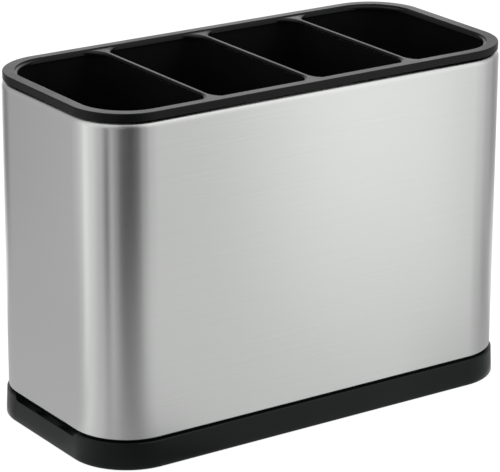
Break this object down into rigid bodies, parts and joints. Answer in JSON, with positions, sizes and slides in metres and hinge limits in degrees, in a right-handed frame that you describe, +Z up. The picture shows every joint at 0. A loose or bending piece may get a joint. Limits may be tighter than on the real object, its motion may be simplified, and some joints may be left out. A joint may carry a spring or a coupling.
{
  "type": "kitchen utensil holder",
  "caption": "Brushed steel kitchen utensil holder on a black base with rubber feet, with a black lift-out liner of upright pockets under a rounded rim.",
  "frame": {"origin": "centre of the bounding box on the surface that the rubber feet stand on", "axes": "+X along the length, away from the end with the finger notch; +Y towards the back; +Z up"},
  "size_m": [0.24, 0.1146, 0.1719],
  "materials": {
    "steel": "fine horizontal brushed grain, satin",
    "rim_plastic": "satin moulded black",
    "liner_plastic": "fine moulded texture, deep black",
    "base_plastic": "satin moulded black",
    "rubber": "soft matt black"
  },
  "bodies": {
    "base_body": {"base": "base_plastic", "foot_front_left": "rubber", "foot_front_right": "rubber", "foot_rear_left": "rubber", "foot_rear_right": "rubber"},
    "sleeve_body": {"shell": "steel"},
    "insert_body": {"liner": "liner_plastic", "rim_frame": "rim_plastic"}
  },
  "joints": [
    {"name": "sleeve_lift", "type": "slide", "parent": "base_body", "child": "sleeve_body", "axis": [0, 0, 1], "range_m": [0, 0.03]},
    {"name": "insert_lift", "type": "slide", "parent": "sleeve_body", "child": "insert_body", "axis": [0, 0, 1], "range_m": [0, 0.15]}
  ]
}
